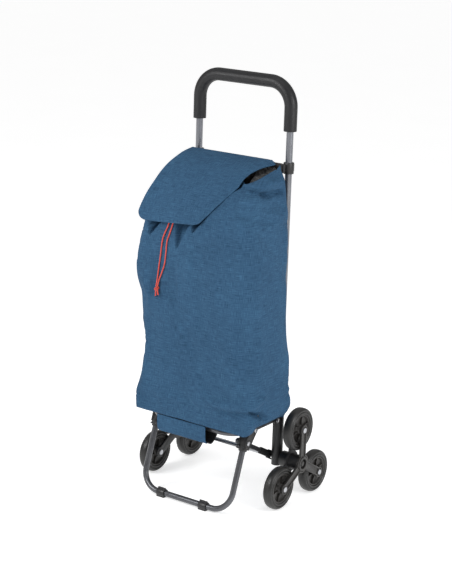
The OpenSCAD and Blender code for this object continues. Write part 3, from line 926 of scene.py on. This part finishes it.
def make_bag():
    """The bag's body: the shaped sheet, settled as cloth, with a lining inside."""
    points, places, faces, n = bag_mesh()
    bag = add_mesh("bag_cloth_shell", points, faces, CLOTH)
    set_wall_uv(bag, places)
    # the floor and both edges stay fixed; the foot, the collar and the pleats nearly so
    pins = []
    for i, p in enumerate(points):
        x, f, z = place_of(p)
        near = max(bell(z, FOOT_Z, 30), bell(z, 790, 60) if x > 80 else 0,
                   bell(z, 665, 45) if f > 130 and x < 60 else 0)
        row = i // n
        pins.append(1.0 if row < 2 or row > BAG_ROWS - 3 else 0.8 * near)
    settle(bag, pins)
    for vertex in bag.data.vertices:
        x, f, z = place_of(vertex.co)
        vertex.co = at(x, behind_cords(x, f, z), z)
    bag.data.materials.append(LINING)
    modified(bag, "SOLIDIFY", thickness=1.6 * MM, offset=-1, material_offset=1,
             material_offset_rim=0)
    soft(bag, "frame", "bag_body")


LINER_HALF = 126            # half width of the mouth's lining
LINER_REAR = 26             # fwd of its rear edge
LINER_Z = 766               # height where its front edge meets the bag's wall
LINER_DROP = 17             # how far it lies below the flap


def mouth_front(x):
    """fwd of the lining's front edge, just inside the bag's wall and its pleats."""
    relief = min(0.0, *(front_relief(x + step, LINER_Z) for step in (-5, 0, 5)))
    return BAG_FRONT(LINER_Z) + relief - 7


def make_liner():
    """Black lining gathered shut across the mouth of the bag, under the flap."""
    nx, nf = 90, 60
    points, faces = [], []
    phase = random.Random(5).uniform(0, 6.3)
    columns = [-LINER_HALF + 2 * LINER_HALF * i / nx for i in range(nx + 1)]
    fronts = [mouth_front(x) for x in columns]
    for j in range(nf + 1):
        for x, front in zip(columns, fronts):
            f = LINER_REAR + (front - LINER_REAR) * j / nf
            edge = max(0, min(LINER_HALF - abs(x), f - LINER_REAR, front - f, 10) / 10)
            # folds that run to the gathered middle, and crumples
            a = math.atan2(f - 90, x + 10)
            fold = abs(math.sin(4.5 * a + phase + 0.06 * x)) * 5
            fold += 9 * abs(lumps(x, f * 1.5, 0, 15, 4)) + 3 * lumps(x, f, 0, 8, 9)
            points.append(at(x, f, FLAP_AT(f) - LINER_DROP + fold * edge - (1 - edge) * 3))
    # its front edge turns down inside the wall
    for drop in (8, 18, 30, 44):
        for x, front in zip(columns, fronts):
            points.append(at(x, front + 0.04 * drop, FLAP_AT(front) - LINER_DROP - 3 - drop))
    for j in range(nf + 4):
        for i in range(nx):
            k = j * (nx + 1) + i
            faces.append((k, k + 1, k + nx + 2, k + nx + 1))
    liner = add_mesh("mouth_lining", points, faces, LINING)
    modified(liner, "SOLIDIFY", thickness=0.6 * MM, offset=0)
    modified(liner, "SUBSURF", levels=1, render_levels=1)
    soft(liner, "frame", None)


class FlapLine:
    """The flap's side outline: fwd, height and outward direction by length from its hinge."""

    def __init__(self):
        self.line = [tuple(p) for p in smooth_line(list(zip(FLAP_FWD, FLAP_Z)), 10)]
        steps = [math.dist(a, b) for a, b in zip(self.line, self.line[1:])]
        self.lengths = [0.0]
        for step in steps:
            self.lengths.append(self.lengths[-1] + step)
        self.total = self.lengths[-1]

    def at(self, s):
        i = min(max(bisect.bisect_right(self.lengths, s) - 1, 0), len(self.line) - 2)
        (f0, z0), (f1, z1) = self.line[i], self.line[i + 1]
        h = self.lengths[i + 1] - self.lengths[i]
        t = (s - self.lengths[i]) / h
        return f0 + t * (f1 - f0), z0 + t * (z1 - z0), -(z1 - z0) / h, (f1 - f0) / h


FLAP_LEFT = Curve([0, 60, 120, 180, 230, 262], [-131, -131, -133, -138, -145, -149])
FLAP_RIGHT = Curve([0, 17, 37, 56, 76, 94, 110, 126, 150, 175, 200, 262],
                   [107, 110, 108, 101, 94, 91, 89, 90, 90, 87, 86, 86])


FLAP_CORNER = Curve([0.68, 0.73, 0.76, 0.79, 0.83, 0.87, 0.90, 0.93, 0.95, 0.975, 1.0],
                    [0, 1.5, 5, 14, 25, 39, 52, 64, 77, 90, 103])


def flap_end(t, total):
    """Length of the flap at t = 0..1 across it: it rises to the right, with round corners."""
    end = total - 1 - 18 * t ** 1.2
    if t < 0.10:
        end -= 22 * (1 - math.sqrt(1 - (1 - t / 0.10) ** 2))
    if t > 0.68:
        end -= FLAP_CORNER(t)
    return end


def make_flap():
    """The flap: a hemmed sheet over the mouth, from the rear rim down to the pleats."""
    outline = FlapLine()
    total = outline.total
    nx, ns = 90, 90
    points, places, faces = [], [], []
    for j in range(ns + 1):
        for i in range(nx + 1):
            t = 0.5 - 0.5 * math.cos(math.pi * i / nx)
            end = flap_end(t, total)
            s = end * j / ns
            f, z, out_f, out_z = outline.at(s)
            left, right = FLAP_LEFT(s), FLAP_RIGHT(s)
            x = left + t * (right - left)
            slack = min(1.0, s / 50)
            d = 1.5 * math.sin(math.pi * t) * slack
            d += (1.8 * lumps(x, s, 0, 75, 6) + 0.7 * lumps(x, s, 4, 28, 2)) * slack
            d -= 0.8 * max(0.0, (t - 0.85) / 0.15) * slack
            edge = min(end - s, (x - left) + 3)
            d += (0.4 * bell(edge, 4, 4) - 0.4 * bell(edge, 9.5, 1.8)) * min(1, 4 * (1 - t))
            # the rear right corner sags into the mouth
            d -= 9 * max(0.0, (x - 84) / 26) ** 2 * max(0.0, 1 - s / 52)
            points.append(at(x, f + d * out_f, z + d * out_z))
            places.append(((x + 700) * MM, s * MM))
    for j in range(ns):
        for i in range(nx):
            k = j * (nx + 1) + i
            faces.append((k, k + 1, k + nx + 2, k + nx + 1))
    flap = add_mesh("bag_flap_cloth", points, faces, CLOTH)
    set_flat_uv(flap, places)
    modified(flap, "SOLIDIFY", thickness=1.8 * MM, offset=0)
    modified(flap, "SUBSURF", levels=1, render_levels=1)
    soft(flap, "flap", "bag_flap")


def strip(name, line, x0, x1, thickness, material, wobble=0.8, nx=48):
    """A cloth strip across x, following a side outline of (fwd, z) points."""
    side = smooth_line(line, 8)
    points, places, faces = [], [], []
    along = 0
    for j, (f, z) in enumerate(side):
        if j:
            along += math.dist(side[j - 1], side[j])
        for i in range(nx + 1):
            x = x0 + (x1 - x0) * i / nx
            d = wobble * lumps(x, f, z, 30, 5)
            points.append(at(x, f + d, z + d))
            places.append((x * MM + 1, along * MM))
    for j in range(len(side) - 1):
        for i in range(nx):
            k = j * (nx + 1) + i
            faces.append((k, k + 1, k + nx + 2, k + nx + 1))
    piece = add_mesh(name, points, faces, material)
    set_flat_uv(piece, places)
    modified(piece, "SOLIDIFY", thickness=thickness * MM, offset=0)
    return modified(piece, "SUBSURF", levels=1, render_levels=1)


def make_strap():
    """The strap round the platform's front bar, and the hook tape that closes it."""
    loop = strip("strap_cloth", [(190, 203), (190, 185), (188, 170), (184.5, 162.5),
                                 (180, 159.6)], -88, 54, 2, CLOTH)
    soft(loop, "platform", "strap_loop")
    tape = strip("strap_hook_tape", [(180, 161.6), (174, 158.6), (166, 160.5), (157, 168.5),
                                     (150, 176), (146, 188), (143, 201)], -88, 60, 1.6,
                 WEBBING, 0.4)
    soft(tape, "platform", "strap_fastener")


def make_binding():
    """The seam that joins the flap to the bag's rear rim."""
    binding = strip("flap_binding", [(22.4, 797), (21.2, 802), (19.8, 806.5), (19.4, 809.2)],
                    -128, 97, 1.6, CLOTH, 0.15)
    soft(binding, "frame", None)


def make_board():
    """The stiff board in the bag's floor, in a cover of the bag's cloth."""
    board = bevelled("bag_base_board", CLOTH, 1.2)
    set_flat_uv(board, [(v.co.x + 2, v.co.y) for v in board.data.vertices])


TAB_W = 24                  # width of a hanger tab


def make_tabs():
    """The two webbing tabs that hang the bag from the top clamps."""
    (x_low, _, low), (x_high, _, high) = ([v / MM for v in corner]
                                          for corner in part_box("bag_hanger_tabs"))
    line = [(22.8, high), (22.6, (high + low) / 2), (22.8, low)]
    parts = [strip("hanger_tabs_webbing", line, x, x + TAB_W, 1.6, WEBBING, 0.15, 12)
             for x in (x_low, x_high - TAB_W)]
    tabs = joined(parts)
    soft(tabs, "frame", "bag_hanger_tabs")


# ---------------------------------------------------------- light and floor

def make_stage():
    """A pale floor that glows a little, a pale backdrop, a dim room and three soft lights."""
    floor = Nodes("floor", Roughness=0.9, Emission_Color=(1, 1, 1, 1), Emission_Strength=0.55)
    floor.colour(floor.mix(floor.noise(floor.place(), 3, 2), (0.80, 0.80, 0.80, 1),
                           (0.83, 0.83, 0.83, 1)))
    size = 30.0             # half the floor's side, metres
    ground = add_mesh("floor", [(-size, -size, 0), (size, -size, 0), (size, size, 0),
                                (-size, size, 0)], [(0, 1, 2, 3)], floor.material, False)
    # a pale dome that only the camera sees, so that a low view has no horizon
    glow = Nodes("backdrop", Base_Color=(0, 0, 0, 1), Specular_IOR_Level=0.0,
                 Emission_Color=(1, 1, 1, 1), Emission_Strength=1.0)
    radius, turn, rings = 28, 48, (0, 10, 25, 45, 65, 85)
    points, faces = [], []
    for up in rings:
        r, z = radius * math.cos(math.radians(up)), radius * math.sin(math.radians(up))
        points += [(r * math.cos(2 * math.pi * k / turn), r * math.sin(2 * math.pi * k / turn),
                    z - 0.2) for k in range(turn)]
    for row in range(len(rings) - 1):
        faces += [(row * turn + k, row * turn + (k + 1) % turn,
                   (row + 1) * turn + (k + 1) % turn, (row + 1) * turn + k) for k in range(turn)]
    faces.append(tuple(range(len(points) - turn, len(points))))
    dome = add_mesh("backdrop", points, faces, glow.material, False)
    dome.visible_diffuse = dome.visible_glossy = dome.visible_transmission = False
    dome.visible_volume_scatter = dome.visible_shadow = False
    world = bpy.data.worlds.new("studio")
    SCENE.world = world
    world.use_nodes = True
    nodes, links = world.node_tree.nodes, world.node_tree.links
    direction = nodes.new("ShaderNodeTexCoord")
    parts = nodes.new("ShaderNodeSeparateXYZ")
    level = nodes.new("ShaderNodeMapRange")
    for key, value in (("From Min", 0.1), ("From Max", 0.8), ("To Min", 0.26), ("To Max", 0.6)):
        level.inputs[key].default_value = value
    links.new(direction.outputs["Generated"], parts.inputs[0])
    links.new(parts.outputs[2], level.inputs["Value"])
    links.new(level.outputs[0], nodes["Background"].inputs[1])
    nodes["Background"].inputs[0].default_value = (1, 1, 1, 1)
    for name, place, aim, width, watts in (
            ("key", (-0.9, -1.8, 1.6), (0, 0, 0.7), 0.8, 27),
            ("fill", (2.1, -0.2, 1.3), (0, 0, 0.6), 0.9, 24),
            ("top", (0.2, -0.6, 3.2), (0, 0, 0.6), 1.6, 8)):
        data = bpy.data.lights.new(name, "AREA")
        data.size = width
        data.energy = watts
        light = bpy.data.objects.new(name, data)
        light.location = place
        light.rotation_euler = (Vector(aim) - Vector(place)).to_track_quat("-Z", "Y").to_euler()
        SCENE.collection.objects.link(light)
    SCENE.view_settings.view_transform = "Standard"


make_stage()
for strand in make_drawstring():
    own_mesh(strand)
make_hard_parts()
make_bag()
make_liner()
make_flap()
make_strap()
make_binding()
make_board()
make_tabs()
